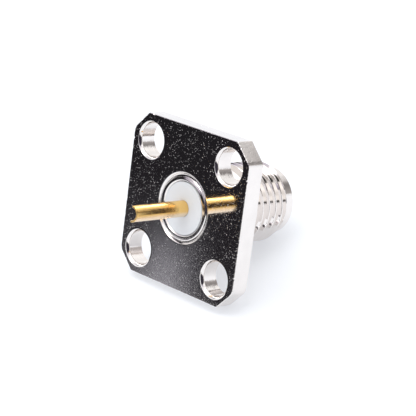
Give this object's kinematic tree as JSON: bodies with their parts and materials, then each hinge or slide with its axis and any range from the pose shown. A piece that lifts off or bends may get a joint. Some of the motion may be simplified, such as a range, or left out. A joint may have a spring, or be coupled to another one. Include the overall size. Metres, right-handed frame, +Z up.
{
  "type": "coaxial panel jack",
  "caption": "Female coaxial panel jack: square flange with bevelled corners and screw holes, threaded barrel, white insulator and gold centre contact with a half-round solder cup.",
  "frame": {"origin": "centre of the flange's rear face, on the connector's axis", "axes": "+Y along the barrel towards the mating end, the solder cup points to -Y, the flange's sides lie along X and Z, +Z up"},
  "size_m": [0.0126, 0.0146, 0.0126],
  "materials": {
    "nickel_plate": "bright nickel plate over brass, fine grained on the flange's rear face",
    "white_insulator": "smooth white fluoropolymer",
    "gold_plate": "bright gold plate over copper alloy"
  },
  "bodies": {
    "root": {"flanged_body": "nickel_plate", "insulator": "white_insulator", "centre_contact": "gold_plate"}
  },
  "joints": []
}
